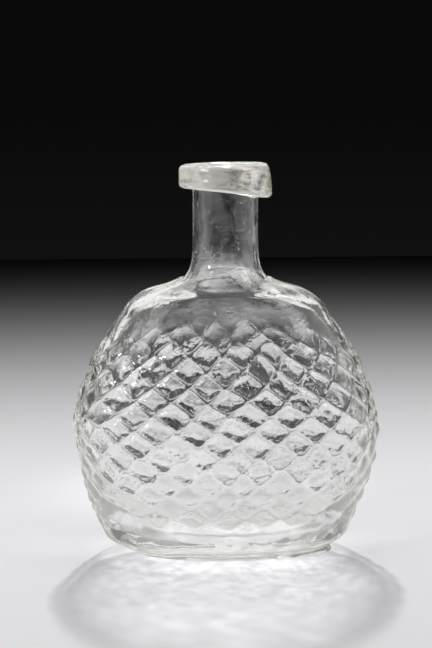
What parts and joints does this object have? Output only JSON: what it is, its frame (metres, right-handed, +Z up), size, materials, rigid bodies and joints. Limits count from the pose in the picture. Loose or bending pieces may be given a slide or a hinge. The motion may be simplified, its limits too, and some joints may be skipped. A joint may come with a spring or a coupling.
{
  "type": "liqueur bottle",
  "caption": "Small flattened liqueur bottle of clear blown glass with a diamond-moulded body, a straight round neck and a wound thread lip.",
  "frame": {"origin": "on the table under the axis of the neck, which is the middle of the bottle's box from above", "axes": "+Z up along the neck, X along the broad faces, Y through the flattened body, with the front face towards -Y"},
  "size_m": [0.1285, 0.0768, 0.163],
  "materials": {
    "neck_glass": "clear fire-polished, with fine seeds",
    "body_glass": "clear mould-patterned, slightly wavy",
    "lip_glass": "clear, wound thread with soft seams",
    "scar_glass": "rough broken glass, softened by wear"
  },
  "bodies": {
    "root": {"inner_post": "neck_glass", "diamond_half_post": "body_glass", "lip_trail": "lip_glass", "pontil_scar": "scar_glass"}
  },
  "joints": []
}
